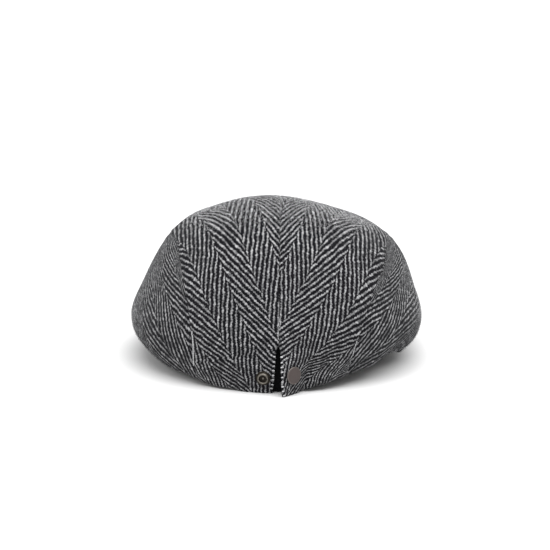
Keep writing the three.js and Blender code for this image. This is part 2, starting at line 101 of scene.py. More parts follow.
# Dents and folds: angle, reach, length round the crown, width, turn, push outward, lift
foldRows = [
    [80, 0.32, 0.26, 0.24, 0, 0, -1.24],
    [-66, 0.48, 0.20, 0.12, 0, 0, 0.32],
    [-92, 0.90, 0.30, 0.14, 0, 0.39, 0],
    [-72, 0.97, 0.26, 0.10, 0, 0.34, 0.16],
    [95, 0.62, 0.20, 0.10, 0, 0.25, 0],
    [17, 1.00, 0.14, 0.16, 0, 0, 0.70],
    [34, 1.00, 0.24, 0.16, 0, 0, 1.42],
    [60, 1.00, 0.26, 0.16, 0, 0, 1.80],
    [78, 0.97, 0.26, 0.10, 0, 0, -0.82],
    [-20, 1.00, 0.14, 0.12, 0, 0, 0.45],
    [-42, 1.00, 0.20, 0.12, 0, 0, 0.48],
    [3, 1.00, 0.16, 0.14, 0, 0.26, 0],
    [19, 0.93, 0.16, 0.035, 8, -0.36, 0],
    [17, 1.00, 0.14, 0.035, 8, 0.24, 0],
    [96, 0.86, 0.07, 0.10, 25, -0.22, 0],
    [84, 0.80, 0.06, 0.10, -15, -0.16, 0],
]

peak = {
    "thickness": 4.0,
    "reach": 52.0,
    "camber": 0.8,
    "startAngle": 118.0,
    "coverReach": 0.75,
    "clearance": 0.3,
    "roundCells": 170,
    "forwardCells": 34,
    "noseCells": 8,
    "edgeSoftening": 0.8,
    "edgeSpan": 0.2,  # share of its width that it takes
    "columnOffset": 8.6,  # sets a column of the weave on the centre line
}

# Outer edge of the peak: angle, sideways and forward from its root, height of its underside
peakRows = np.array([
    [118, 0.06, 0.10, 0.095],
    [125, 0.24, 0.35, 0.045],
    [135, 0.36, 0.65, -0.004],
    [150, 0.31, 0.88, -0.004],
    [165, 0.16, 0.98, 0.014],
    [180, 0.00, 1.00, 0.034],
])


def unit(vectors):
    return vectors / np.linalg.norm(vectors, axis=-1, keepdims=True)


def smoothCurve(positions, values):
    x, y = np.asarray(positions, float), np.asarray(values, float)
    step = np.diff(x)
    rise = np.diff(y) / step
    slope = np.zeros(len(x))
    slope[1:-1] = (rise[:-1] * step[1:] + rise[1:] * step[:-1]) / (step[:-1] + step[1:])
    slope[0] = 1.5 * rise[0] - 0.5 * slope[1]
    slope[-1] = 1.5 * rise[-1] - 0.5 * slope[-2]

    def at(q):
        i = np.clip(np.searchsorted(x, q, side="right") - 1, 0, len(x) - 2)
        t = (q - x[i]) / step[i]
        fromStart = (1 + 2 * t) * (1 - t) ** 2 * y[i] + t * (1 - t) ** 2 * step[i] * slope[i]
        fromEnd = t * t * (3 - 2 * t) * y[i + 1] + t * t * (t - 1) * step[i] * slope[i + 1]
        return fromStart + fromEnd

    return at


def ringProfile(before, after, size, sign=1):
    # one column of the sections, carried over the top to the other side
    reach = crownRings[:, 0]
    outward = crownRings[1:]
    positions = np.concatenate([-reach[:0:-1], reach])
    values = np.concatenate([sign * outward[::-1, before], crownRings[:1, after], outward[:, after]])
    return smoothCurve(positions, values * size)


centreY = ringProfile(1, 6, crown["length"])
centreZ = ringProfile(2, 7, crown["height"])
sideX = ringProfile(3, 3, crown["width"], -1)
sideY = ringProfile(4, 4, crown["length"])
sideZ = ringProfile(5, 5, crown["height"])
fullBack = ringProfile(8, 8, 1)
fullFront = ringProfile(9, 9, 1)


def chartPoint(angle, reach):
    angle = np.radians(angle)
    return np.stack([reach * np.sin(angle), -reach * np.cos(angle)], -1)


def ringPoint(chart):
    reach = np.maximum(np.hypot(chart[..., 0], chart[..., 1]), 1e-9)
    sine, cosine = chart[..., 0] / reach, -chart[..., 1] / reach
    full = (fullBack(reach) * (1 + cosine) + fullFront(reach) * (1 - cosine)) / 2

    def across(back, side, front):
        return side + (back - front) / 2 * cosine + ((back + front) / 2 - side) * cosine ** 2

    return np.stack([
        sideX(reach) * sine * (1 + full * cosine ** 2),
        across(centreY(-reach), sideY(reach), centreY(reach)),
        across(centreZ(-reach), sideZ(reach), centreZ(reach)),
    ], -1)


def reachAbove(angle, height):
    hem = ringPoint(chartPoint(angle, 1))
    low, high = 0.5, 1.0
    for _ in range(30):
        middle = (low + high) / 2
        if np.linalg.norm(ringPoint(chartPoint(angle, middle)) - hem) > height:
            low = middle
        else:
            high = middle
    return (low + high) / 2


slitTop = reachAbove(0, crown["slitHeight"])
frontReach = seamRows[-1, 0]
chartUnit = float(sideX(1) * (1 + fullBack(1)))  # millimetres across one unit of the chart at the hem


def surfaceNormal(surface, chart, small=1e-3):
    across = surface(chart + [small, 0]) - surface(chart - [small, 0])
    forward = surface(chart + [0, small]) - surface(chart - [0, small])
    return unit(np.cross(across, forward))


def foldStrength(row, chart):
    angle, reach, length, width, turn = row[:5]
    place = chartPoint(angle, reach)
    turned = math.radians(angle + turn)
    x, y = chart[..., 0] - place[0], chart[..., 1] - place[1]
    along = x * math.cos(turned) + y * math.sin(turned)
    across = -x * math.sin(turned) + y * math.cos(turned)
    return np.exp(-((along / length) ** 2) - (across / width) ** 2)


def flapSwing(chart):
    # the right flap swings outward about the top of the slit
    full = slitTop + (1 - slitTop) * crown["flapSwingFull"]
    down = np.clip((-chart[..., 1] - slitTop) / (full - slitTop), 0, 1)
    fade = np.exp(-((chart[..., 0] * chartUnit / crown["flapSwingWidth"]) ** 2))
    return np.where(chart[..., 0] >= 0, crown["flapSwing"] * down * down * (3 - 2 * down) * fade, 0)


def foldedPoint(chart):
    point = ringPoint(chart)
    outward = surfaceNormal(ringPoint, chart)
    for row in foldRows:
        strength = foldStrength(row, chart)[..., None] * crown["foldDepth"]
        point = point + row[5] * strength * outward + row[6] * strength * [0, 0, 1]
    point = point + flapSwing(chart)[..., None] * outward
    point[..., 0] += crown["lean"] * np.clip(point[..., 2] / crown["height"], 0, 1)
    return point


peakSide, peakForward, peakRise = (smoothCurve(peakRows[:, 0], row) for row in peakRows[:, 1:].T)


def peakLine(angle):
    # root and outer edge of one line across the peak, with the height of its top at both
    root = ringPoint(chartPoint(angle, 1))
    headMiddle = (centreY(-1) + centreY(1)) / 2
    inward = unit(np.stack([-root[..., 0], headMiddle - root[..., 1]], -1))
    mirrored = np.where(angle > 180, 360 - angle, angle)
    side = np.where(angle > 180, -1, 1)
    edge = np.stack([
        root[..., 0] + side * peakSide(mirrored) * peak["reach"],
        root[..., 1] + peakForward(mirrored) * peak["reach"],
    ], -1)
    rootFlat = root[..., :2] + inward * crown["thickness"]
    edgeTop = peakRise(mirrored) * crown["height"] + peak["thickness"]
    return rootFlat, edge, root[..., 2] - peak["clearance"], edgeTop


def peakTop(rootTop, edgeTop, share):
    fall = 1 - (1 - share) ** 2
    return rootTop + (edgeTop - rootTop) * fall + peak["camber"] * np.sin(np.pi * share)


def crownPoint(chart):
    # the front of the crown lies on the peak
    point = foldedPoint(chart)
    fromBack = np.degrees(np.abs(np.arctan2(chart[..., 0], -chart[..., 1])))
    reach = np.hypot(chart[..., 0], chart[..., 1])
    over = (fromBack >= peak["startAngle"]) & (reach >= peak["coverReach"])
    root, edge, rootTop, edgeTop = peakLine(np.maximum(fromBack, peak["startAngle"]))
    flat = np.stack([np.abs(point[..., 0]), point[..., 1]], -1)
    share = np.linalg.norm(flat - root, axis=-1) / np.linalg.norm(edge - root, axis=-1)
    held = peakTop(rootTop, edgeTop, np.clip(share, 0, 1)) + peak["clearance"]
    point[..., 2] = np.where(over & (share < 1), np.maximum(point[..., 2], held), point[..., 2])
    return point


def settled(point):
    low = point.copy()
    low[..., 2] = np.maximum(0, low[..., 2] - crown["restingDepth"])
    return low


# The frame stands on its own origin: the peak gives how far that is from the crown's middle
peakLow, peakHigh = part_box("peak")
frameShift = np.array([
    (peakLow.x + peakHigh.x) / 2 / mm,
    peakHigh.y / mm - float(centreY(1)) - peak["reach"],
    0.0,
])


def latticeNoise(points, size, seed):
    # smooth noise between -1 and 1, size in millimetres
    scaled = points / size
    base = np.floor(scaled).astype(np.int64)
    t = scaled - base
    t = t * t * (3 - 2 * t)
    total = np.zeros(points.shape[:-1])
    for corner in range(8):
        offset = np.array([corner & 1, corner >> 1 & 1, corner >> 2 & 1])
        cell = base + offset
        mixed = seed * 2654435 ^ cell[..., 0] * 73856093
        mixed = mixed ^ cell[..., 1] * 19349663 ^ cell[..., 2] * 83492791
        mixed = (mixed ^ (mixed >> 13)) * 1274126177 & 0x7FFFFFFF
        value = mixed / 0x3FFFFFFF - 1
        total += value * np.prod(np.where(offset == 1, t, 1 - t), -1)
    return total


# Making meshes and pieces

def gridPlaces(u, v):
    return np.stack(np.meshgrid(u, v, indexing="ij"), -1).reshape(-1, 2)


def quads(a, b, c, d):
    return np.stack([a, b, c, d], -1).reshape(-1, 4)


def roundFaces(rings, first, last):
    # faces between rings of points, closed by one point at each end
    after = np.roll(rings, -1, axis=1)
    faces = [[first, b, a] for a, b in zip(rings[0], after[0])]
    faces += quads(rings[:-1], after[:-1], after[1:], rings[1:]).tolist()
    return faces + [[last, a, b] for a, b in zip(rings[-1], after[-1])]


def loopGrid(loops):
    # settled points of a stack of loops, their numbers, the next loop's numbers and a flat layout
    points = settled(np.array(loops))
    count, columns = points.shape[:2]
    index = np.arange(count * columns).reshape(count, columns)
    layout = gridPlaces(np.linspace(0, 1, count), np.linspace(0, 1, columns))
    return points.reshape(-1, 3), index, np.roll(index, -1, axis=0), layout


def makePiece(name, points, faces, materials, nodes=(), uvs=None, faceMaterials=None):
    mesh = bpy.data.meshes.new(name)
    shifted = (np.asarray(points) + frameShift) * mm
    mesh.from_pydata(shifted.tolist(), [], [list(face) for face in faces])
    mesh.update()
    for material in materials:
        mesh.materials.append(material)
    mesh.polygons.foreach_set("use_smooth", np.ones(len(mesh.polygons), bool))
    if faceMaterials is not None:
        mesh.polygons.foreach_set("material_index", np.asarray(faceMaterials, np.int32))
    corners = np.empty(len(mesh.loops), np.int32)
    mesh.loops.foreach_get("vertex_index", corners)
    for layerName, places in (uvs or {}).items():
        layer = mesh.uv_layers.new(name=layerName)
        layer.uv.foreach_set("vector", np.asarray(places, np.float32)[corners].ravel())
    piece = bpy.data.objects.new(name, mesh)
    bpy.context.scene.collection.objects.link(piece)
    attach(piece, "root")
    if nodes:
        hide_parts(*nodes)


# Shader helpers

def setInputs(node, values):
    # each value is a number, a colour or the socket that feeds the input
    for name, value in values.items():
        if isinstance(value, bpy.types.NodeSocket):
            node.id_data.links.new(value, node.inputs[name])
        else:
            node.inputs[name].default_value = value


def addNode(tree, kind, inputs, **settings):
    node = tree.nodes.new("ShaderNode" + kind)
    for name, value in settings.items():
        setattr(node, name, value)
    setInputs(node, inputs)
    return node.outputs


def calc(tree, operation, *values):
    return addNode(tree, "Math", dict(enumerate(values)), operation=operation)[0]


def weighted(tree, *parts):
    # the sum of values, each times its share
    total = None
    for value, share in parts:
        part = calc(tree, "MULTIPLY", value, share)
        total = part if total is None else calc(tree, "ADD", total, part)
    return total


def vectorCalc(tree, operation, *values):
    return addNode(tree, "VectorMath", dict(enumerate(values)), operation=operation)[0]


def spread(tree, value, fromLow, fromHigh, toLow=0.0, toHigh=1.0):
    limits = {"From Min": fromLow, "From Max": fromHigh, "To Min": toLow, "To Max": toHigh}
    return addNode(tree, "MapRange", {"Value": value, **limits}, interpolation_type="SMOOTHSTEP")["Result"]


def noise(tree, vector, scale, detail=2.0, roughness=0.5):
    inputs = {"Vector": vector, "Scale": scale, "Detail": detail, "Roughness": roughness}
    return addNode(tree, "TexNoise", inputs)


def mixColours(tree, share, first, second):
    first, second = ((*colour, 1) if isinstance(colour, tuple) else colour for colour in (first, second))
    return addNode(tree, "Mix", {0: share, 6: first, 7: second}, data_type="RGBA")[2]


def bump(tree, height, strength, depth):
    return addNode(tree, "Bump", {"Height": height, "Strength": strength, "Distance": depth * mm})["Normal"]


def objectPlace(tree):
    return addNode(tree, "TexCoord", {})["Object"]


def newGroup(name, place, values, outputs):
    # one vector input, number inputs with their usual values, and number outputs
    tree = bpy.data.node_groups.new(name, "ShaderNodeTree")
    tree.interface.new_socket(place, in_out="INPUT", socket_type="NodeSocketVector")
    for socketName, value in values.items():
        socket = tree.interface.new_socket(socketName, in_out="INPUT", socket_type="NodeSocketFloat")
        socket.default_value = value
    for socketName in outputs:
        tree.interface.new_socket(socketName, in_out="OUTPUT", socket_type="NodeSocketFloat")
    return tree, tree.nodes.new("NodeGroupInput").outputs, tree.nodes.new("NodeGroupOutput")


def placeGroup(tree, group, values):
    return addNode(tree, "Group", values, node_tree=group)


def newMaterial(name):
    material = bpy.data.materials.new(name)
    material.use_nodes = True
    return material, material.node_tree, material.node_tree.nodes["Principled BSDF"]


def finishCloth(shader, look, colour, height=None):
    setInputs(shader, {
        "Base Color": colour,
        "Roughness": look["roughness"],
        "Specular IOR Level": look["gloss"],
        "Sheen Weight": look.get("sheen", 0.0),
        "Sheen Roughness": look.get("sheenRoughness", 0.5),
    })
    if height is not None:
        normal = bump(shader.id_data, height, look["bump"], look["bumpDepth"])
        setInputs(shader, {"Normal": normal})


# Herringbone: two by two twill of light weft over dark warp, turned about in columns

weave = {
    "column": 17.2,
    "thread": 0.83,  # spacing of the dark warp, across a column
    "pick": 1.72,  # spacing of the light weft, along a column
    "wander": 2.2,  # how far yarns stray from their place
    "jitter": 1.5,
    "softness": 0.65,  # blur between the two yarns
    "darkness": 0.84,  # how much the dark yarn swells over the light one
    "fluff": 1.6,  # how much stray fibres break up the edges of the yarns
}
weaveGrain = {
    "wander": (0.16, 1),  # noise cells in a millimetre, and detail
    "jitter": (0.8, 2),
    "fibre": (2.2, 3, 0.65),
    "streak": (0.35, 2),
    "rounded": 0.45,  # height of a yarn's round back beside its rise and fall
    "edge": (-0.6, 1.4),  # heights of light over dark yarn between which one gives way to the other
    "shares": (0.4, 0.9, 0.7),  # of the single float, the fibres and the streaks in the tone
}


def buildWeaveGroup():
    values = {name.title(): weave[name] for name in weave}
    tree, given, out = newGroup("herringboneWeave", "Cloth", values, ("Light", "Tone", "Relief"))
    cloth = given["Cloth"]
    moved = cloth
    for name in ("wander", "jitter"):
        stray = noise(tree, cloth, *weaveGrain[name])["Color"]
        stray = vectorCalc(tree, "SUBTRACT", stray, (0.5, 0.5, 0.5))
        scaled = addNode(tree, "VectorMath", {0: stray, "Scale": given[name.title()]}, operation="SCALE")[0]
        moved = vectorCalc(tree, "ADD", moved, scaled)
    across, along = addNode(tree, "SeparateXYZ", {0: moved}).values()[:2]

    number = calc(tree, "FLOOR", calc(tree, "DIVIDE", across, given["Column"]))
    odd = calc(tree, "FLOORED_MODULO", number, 2.0)
    inside = calc(tree, "SUBTRACT", across, calc(tree, "MULTIPLY", number, given["Column"]))
    flipped = calc(tree, "SUBTRACT", given["Column"], inside)
    change = calc(tree, "MULTIPLY", odd, calc(tree, "SUBTRACT", flipped, inside))
    turned = calc(tree, "ADD", inside, change)
    warpAt = calc(tree, "DIVIDE", turned, given["Thread"])
    warpAt = calc(tree, "ADD", warpAt, calc(tree, "MULTIPLY", odd, 2.0))
    weftAt = calc(tree, "DIVIDE", along, given["Pick"])

    def yarn(atOwn, atOther, sign):
        # crown of one yarn: round across, rising and sinking along
        share = calc(tree, "FRACT", atOwn)
        row = calc(tree, "FLOOR", atOwn)
        offMiddle = calc(tree, "SUBTRACT", calc(tree, "MULTIPLY", share, 2.0), 1.0)
        roundness = calc(tree, "SUBTRACT", 1.0, calc(tree, "MULTIPLY", offMiddle, offMiddle))
        wave = calc(tree, "SINE", calc(tree, "MULTIPLY", calc(tree, "ADD", atOther, row), math.pi / 2))
        return weighted(tree, (wave, sign), (roundness, weaveGrain["rounded"])), row

    weftHeight, weftRow = yarn(weftAt, warpAt, 1.0)
    warpHeight = yarn(warpAt, weftAt, -1.0)[0]
    fibre = noise(tree, cloth, *weaveGrain["fibre"])["Fac"]
    stray = calc(tree, "MULTIPLY", calc(tree, "SUBTRACT", fibre, 0.5), given["Fluff"])
    difference = calc(tree, "SUBTRACT", weftHeight, warpHeight)
    difference = calc(tree, "SUBTRACT", difference, given["Darkness"])
    soft = calc(tree, "DIVIDE", calc(tree, "ADD", difference, stray), given["Softness"])

    floatNumber = calc(tree, "FLOOR", calc(tree, "DIVIDE", calc(tree, "ADD", warpAt, weftRow), 4.0))
    oneFloat = addNode(tree, "CombineXYZ", {0: floatNumber, 1: weftRow})[0]
    single = addNode(tree, "TexWhiteNoise", {"Vector": oneFloat})["Value"]
    streak = noise(tree, cloth, *weaveGrain["streak"])["Fac"]
    relief = calc(tree, "MAXIMUM", weftHeight, warpHeight)
    setInputs(out, {
        "Light": spread(tree, soft, *weaveGrain["edge"]),
        "Tone": weighted(tree, *zip((single, fibre, streak), weaveGrain["shares"])),
        "Relief": calc(tree, "ADD", relief, calc(tree, "MULTIPLY", fibre, 0.9)),
    })
    return tree


weaveGroup = buildWeaveGroup()


def tweedMaterial(name, look):
    material, tree, shader = newMaterial(name)
    pattern = placeGroup(tree, weaveGroup, {"Cloth": addNode(tree, "UVMap", {}, uv_map="weave")[0]})
    lightTone, darkTone = (spread(tree, pattern["Tone"], *look[tone]) for tone in ("lightTone", "darkTone"))
    lightYarn = mixColours(tree, lightTone, look["lightLow"], look["lightHigh"])
    darkYarn = mixColours(tree, darkTone, look["darkLow"], look["darkHigh"])
    colour = mixColours(tree, pattern["Light"], darkYarn, lightYarn)
    finishCloth(shader, look, colour, pattern["Relief"])
    return material


tweedLook = {
    "lightLow": (0.052, 0.052, 0.055),
    "lightHigh": (0.41, 0.41, 0.417),
    "darkLow": (0.0006, 0.0006, 0.0016),
    "darkHigh": (0.005, 0.005, 0.0075),
    "lightTone": (0.6, 1.5),  # values of the weave's tone that give the low and the high colour
    "darkTone": (0.6, 1.6),
    "roughness": 0.95,
    "gloss": 0.06,
    "sheen": 0.035,
    "sheenRoughness": 0.6,
    "bump": 0.8,
    "bumpDepth": 0.35,
}
tweed = tweedMaterial("tweed", tweedLook)
peakTweed = tweedMaterial("peak_tweed", tweedLook)
print("cap: cloth materials built")


# Cloth coordinates in columns: number of the column as a curve over (across, up) in units of 100 mm,
# counted from the centre line and the hem
columnCurves = {
    "top_panel_left": (1.964, 6.274 + 2.671j, -0.523 + 0.251j),
    "top_panel_right": (2.712, 6.175 + 4.063j, -0.988 - 0.001j),
    "side_panel_left": (0.641, 3.95 + 2.87j, 0),
    "side_panel_right": (3.028, 2.90 + 3.92j, 0),
}
# How much the cloth is drawn out along its columns: one for none, less for more
clothPace = {
    "top_panel_left": 1.0, "top_panel_right": 1.0,
    "side_panel_left": 0.72, "side_panel_right": 0.52,
    "top": 0.25,  # and by this share more where it faces up
    "sides": 0.42,  # or where a top panel faces sideways
    "topFrom": 0.45, "sidesFrom": 0.3, "turn": 0.4,  # parts of the normal at which that starts and its span
}
measuredUp = 1.5  # the columns run on straight above this height


def columnPlace(name, across, up):
    low = np.minimum(up / 100, measuredUp)
    z = across / 100 + 1j * low
    c0, c1, c2 = columnCurves[name]
    value = c0 + c1 * z + c2 * z ** 2
    value = value + (c1 + 2 * c2 * z) * 1j * (up / 100 - low)
    return value * weave["column"]


def clothPlace(points, u, v, start, pace):
    # start.real runs across the columns; the place along them follows at right angles on the cloth,
    # drawn out where the pace is below one
    across, along = start.real, start.imag.copy()
    du, dv = np.diff(u)[:, None], np.diff(v)[None, :]
    pu, pv = np.gradient(points, u, axis=0), np.gradient(points, v, axis=1)
    au, av = np.gradient(across, u, axis=0), np.gradient(across, v, axis=1)
    e, f, g = (pu * pu).sum(-1), (pu * pv).sum(-1), (pv * pv).sum(-1)
    area = np.sqrt(np.maximum(e * g - f * f, 1e-9))
    wantU, wantV = pace * (f * au - e * av) / area, pace * (g * au - f * av) / area
    wantU = (wantU[1:] + wantU[:-1]) / 2 * du
    wantV = (wantV[:, 1:] + wantV[:, :-1]) / 2 * dv
    shape = np.sqrt(g / e)
    weightU = (shape[1:] + shape[:-1]) / 2 / du * np.gradient(v)[None, :]
    weightV = 2 / (shape[:, 1:] + shape[:, :-1]) / dv * np.gradient(u)[:, None]

    def gather(stepU, stepV, sign=-1):
        total = np.zeros_like(along)
        total[1:] += stepU
        total[:-1] += sign * stepU
        total[:, 1:] += stepV
        total[:, :-1] += sign * stepV
        return total

    def apply(place):
        return gather(weightU * np.diff(place, axis=0), weightV * np.diff(place, axis=1))

    scale = gather(weightU, weightV, 1)
    residual = gather(weightU * wantU, weightV * wantV) - apply(along)
    direction = residual / scale
    strength = (residual * direction).sum()
    begin = strength
    for _ in range(1500):
        moved = apply(direction)
        step = strength / (direction * moved).sum()
        along += step * direction
        residual -= step * moved
        scaled = residual / scale
        renewed = (residual * scaled).sum()
        if renewed < begin * 1e-12:
            break
        direction = scaled + renewed / strength * direction
        strength = renewed
    return np.stack([across, along], -1)


# Panels of the crown

# Creases in the cloth, sharper than the folds: the same, with the push in millimetres and no lift
creaseRows = [
    [0.0, 0.37, 0.36, 0.14, 0, 2.0],  # the crown turns over along a soft ridge
    [2.0, 0.965, 0.045, 0.16, 0, 2.1],  # the right flap turns away from the slit
    [11.5, 0.955, 0.045, 0.11, 0, -2.8],
    [20.0, 0.915, 0.020, 0.14, -38, -1.6],  # and a crease runs up from the snap
    [22.0, 0.870, 0.030, 0.14, -38, 0.9],
    [-14.0, 0.975, 0.12, 0.016, -6, -0.5],
    [95.0, 0.80, 0.16, 0.022, 30, -1.1],
    [104.0, 0.88, 0.12, 0.024, 38, 0.9],
    [-96.0, 0.93, 0.12, 0.024, -20, -1.3],
    [-104.0, 0.84, 0.16, 0.030, -32, 0.8],
]


def creased(chart):
    total = np.zeros(chart.shape[:-1])
    for row in creaseRows:
        strength = foldStrength(row, chart) * row[5]
        if 0 < row[0] < 12:
            strength = strength * (chart[..., 0] >= 0)
        total += strength
    return total


# Number of cells and rough length in millimetres
panelCells = {"across": (58, 92.0), "along": (186, 360.0), "sideAcross": (150, 290.0), "sideUp": (46, 90.0)}
nearEdge = np.array([0, 0.14, 0.34, 0.62, 0.98, 1.6, 2.4])  # extra rows of points beside each edge
evenFrom = 3.4


def edgeShares(cells, length):
    near = nearEdge / length
    middle = np.linspace(evenFrom / length, 1 - evenFrom / length, cells)
    return np.concatenate([near, middle, 1 - near[::-1]])


def seamAngles(side):
    return seamRows[:, 1 if side < 0 else 2]


def seamCurve(side):
    places = chartPoint(side * seamAngles(side), seamRows[:, 0])
    places = np.vstack([places, [-places[-2, 0], places[-2, 1]]])
    positions = np.arange(len(places))
    x, y = smoothCurve(positions, places[:, 0]), smoothCurve(positions, places[:, 1])

    def at(share):
        q = np.asarray(share, float) * (len(seamRows) - 1)
        return np.stack([np.where(q >= len(seamRows) - 1, 0, x(q)), y(q)], -1)

    return at


def fillPatch(u, v, left, right, bottom, top):
    # surface between four edges of the chart: left and right run up, bottom and top run across
    u, v = u[:, None, None], v[None, :, None]
    chart = (1 - v) * bottom[:, None] + v * top[:, None] + (1 - u) * left[None] + u * right[None]
    chart = chart - (1 - u) * (1 - v) * left[0] - u * (1 - v) * right[0]
    return chart - (1 - u) * v * left[-1] - u * v * right[-1]


def runLength(points, axis):
    step = np.linalg.norm(np.diff(points, axis=axis), axis=-1)
    start = np.zeros_like(np.take(step, [0], axis=axis))
    return np.concatenate([start, np.cumsum(step, axis=axis)], axis=axis)


def rounding(distance, radius):
    inside = np.clip(radius - distance, 0, radius)
    return radius - np.sqrt(np.maximum(radius ** 2 - inside ** 2, 0))


def clothPoint(chart):
    return crownPoint(chart) + creased(chart)[..., None] * surfaceNormal(ringPoint, chart)


def clothWall(name, side, chart, u, v, folds, acrossStart, up):
    outer = clothPoint(chart)
    normal = surfaceNormal(clothPoint, chart)
    alongU, alongV = runLength(outer, 0), runLength(outer, 1)
    distances = {
        "left": alongU,
        "right": alongU[-1:] - alongU,
        "bottom": alongV,
        "top": alongV[:, -1:] - alongV,
    }
    drop = np.zeros(alongU.shape)
    relief = sum(height * latticeNoise(outer, size, seed) for height, size, seed in crown["waves"])
    share, often, stray, size = crown["pucker"]
    pucker = 1 + share * np.sin(alongV * often + stray * latticeNoise(outer, size, 3))
    for edge, distance in distances.items():
        radius = crown["edgeRounding" if edge in folds else "seamRounding"]
        drop = np.maximum(drop, rounding(distance, radius))
        if edge not in folds:
            swell = np.exp(-((distance - crown["swellPlace"]) / crown["swellWidth"]) ** 2)
            relief += crown["seamSwell"] * swell * pucker
    facingUp, facingOut = normal[..., 2], np.abs(normal[..., 0])
    turnedOver = np.clip((facingUp - clothPace["topFrom"]) / clothPace["turn"], 0, 1)
    turnedOut = np.clip((facingOut - clothPace["sidesFrom"]) / clothPace["turn"], 0, 1)
    turnedOut = turnedOut * name.startswith("top")
    pace = clothPace[name] * (1 - clothPace["top"] * turnedOver) * (1 - clothPace["sides"] * turnedOut)
    places = clothPlace(outer, u, v, columnPlace(name, acrossStart + alongU, up + 0 * alongU), pace)

    outerFace = settled(outer + (relief - drop)[..., None] * normal)
    innerFace = settled(outer + (relief - crown["thickness"] + drop)[..., None] * normal)
    rows, columns = alongU.shape
    index = np.arange(rows * columns).reshape(rows, columns)
    sheet = quads(index[:-1, :-1], index[1:, :-1], index[1:, 1:], index[:-1, 1:])
    count = rows * columns
    rim = np.concatenate([index[:-1, 0], index[-1, :-1], index[:0:-1, -1], index[0, :0:-1]])
    after = np.roll(rim, -1)
    rimFaces = quads(rim, rim + count, after + count, after)
    faces = np.concatenate([sheet, sheet[:, ::-1] + count, rimFaces])
    if side < 0:
        faces = faces[:, ::-1]
    flat = gridPlaces(u, v)
    layout = np.concatenate([flat * [0.49, 1.0], flat * [0.49, 1.0] + [0.51, 0]])
    cloth = places.reshape(-1, 2)
    points = np.concatenate([outerFace.reshape(-1, 3), innerFace.reshape(-1, 3)])
    uvs = {"weave": np.concatenate([cloth, cloth]), "OFBake": layout}
    makePiece(name + "_cloth", points, faces, [tweed], [name], uvs)
    return outerFace, normal


# Half of the slit's opening on the way down it, as a share of the whole
slitShape = smoothCurve([0, 0.05, 0.2, 0.45, 0.7, 1], [0, 0.18, 0.27, 0.38, 0.52, 1])


def slitHalf(reach):
    down = np.clip((reach - slitTop) / (1 - slitTop), 0, 1)
    return slitShape(down) * crown["slitOpening"] / 2


def topPanel(side, name):
    seam = seamCurve(side)
    u, v = edgeShares(*panelCells["across"]), edgeShares(*panelCells["along"])
    forward = -1 + (1 + frontReach) * v
    half = slitHalf(-forward)
    opening = side * half / chartUnit
    left = np.stack([opening, forward], -1)
    hemEnd = seamAngles(side)[0]
    bottom = chartPoint(side * hemEnd * u, 1)
    bottom[:, 0] += opening[0] * (1 - u)
    right = seam(v * crown["seamEnd"])
    top = seam(1 - u * (1 - crown["seamEnd"]))
    chart = fillPatch(u, v, left, right, bottom, top)
    centre = crownPoint(np.stack([np.zeros(len(v)), forward], -1))
    up = runLength(centre, 0)[None, :]
    return clothWall(name, side, chart, u, v, ("left", "bottom"), half[None, :], up)


def sidePanel(side, name):
    seam = seamCurve(side)
    u, v = edgeShares(*panelCells["sideAcross"]), edgeShares(*panelCells["sideUp"])
    hemEnd = seamAngles(side)[0]
    angles = hemEnd + (180 - hemEnd) * u
    bottom = chartPoint(side * angles, 1)
    bottom[-1, 0] = 0
    left = seam(v * crown["seamStart"])
    right = np.stack([np.zeros(len(v)), 1 + (frontReach - 1) * v], -1)
    top = seam(crown["seamStart"] + u * (1 - crown["seamStart"]))
    chart = fillPatch(u, v, left, right, bottom, top)
    up = runLength(crownPoint(chart), 1)
    return clothWall(name, side, chart, u, v, ("bottom",), 0.0, up)


panels = {
    "top_panel_left": topPanel(-1, "top_panel_left"),
    "top_panel_right": topPanel(1, "top_panel_right"),
    "side_panel_left": sidePanel(-1, "side_panel_left"),
    "side_panel_right": sidePanel(1, "side_panel_right"),
}
print("cap: crown panels built")

# Stray fibres of the woollen cloth, whose colour holds painted light and shade

fuzz = {
    "count": {
        "top_panel_left": 33000, "top_panel_right": 33000,
        "side_panel_left": 30000, "side_panel_right": 30000,
    },
    "length": (0.6, 2.0),
    "width": (0.035, 0.06),
    "plainShare": 0.5,
    "topShare": 5.0,  # the nap stands thicker where the cloth faces up or sideways
    "thickerFrom": 0.25,  # by how much it has to
    "topGrowth": 1.6,  # and its fibres are wider by this share
    "topLie": 30.0,  # and stand up by so many degrees more
    "topPaintedLight": 1.0,  # and are painted nearer to the light colour by this share, as painted light where the cloth faces up
    # painted light of the same kind on fibres where the cloth faces sideways
    "sidePaintedLight": 0.9,
    "paleAbove": 0.6,  # part of the normal that tells the top from the sides
    "sideFacing": 0.82,  # how much a wall that faces sideways counts as one that faces up
    "topFrom": 0.68,  # how far it faces up where the nap starts to change
    "topTurn": 0.25,  # and over what more it does so
    "lie": (8.0, 62.0),  # degrees from the cloth
    "steepest": 80.0,
    "lieBias": 1.8,  # most fibres lie low and are short
    "lengthBias": 1.6,
    "bend": 0.35,
    "sink": 0.05,  # roots start in the cloth
    "snapClear": 6.2,  # no fibres within this distance of the snap's axis
    "shadeSpan": 0.75,
    "tone": (0.15, 1.0),  # shades of a fibre that give the dark and the light colour
    "roughness": 0.9,
    "gloss": 0.1,
    "dark": (0.004, 0.004, 0.006),
    "light": (0.80, 0.80, 0.81),
}


def fuzzMaterial():
    material, tree, shader = newMaterial("wool_fibres")
    strand = addNode(tree, "UVMap", {}, uv_map="strand")[0]
    # the strand map's first value is each fibre's shade: its random tone with painted light and painted
    # shade
    shade = spread(tree, addNode(tree, "SeparateXYZ", {0: strand})[0], *fuzz["tone"])
    finishCloth(shader, fuzz, mixColours(tree, shade, fuzz["dark"], fuzz["light"]))
    return material


def randomBetween(span, count, bias=1.0):
    return span[0] + (span[1] - span[0]) * rng.random((count, 1)) ** bias


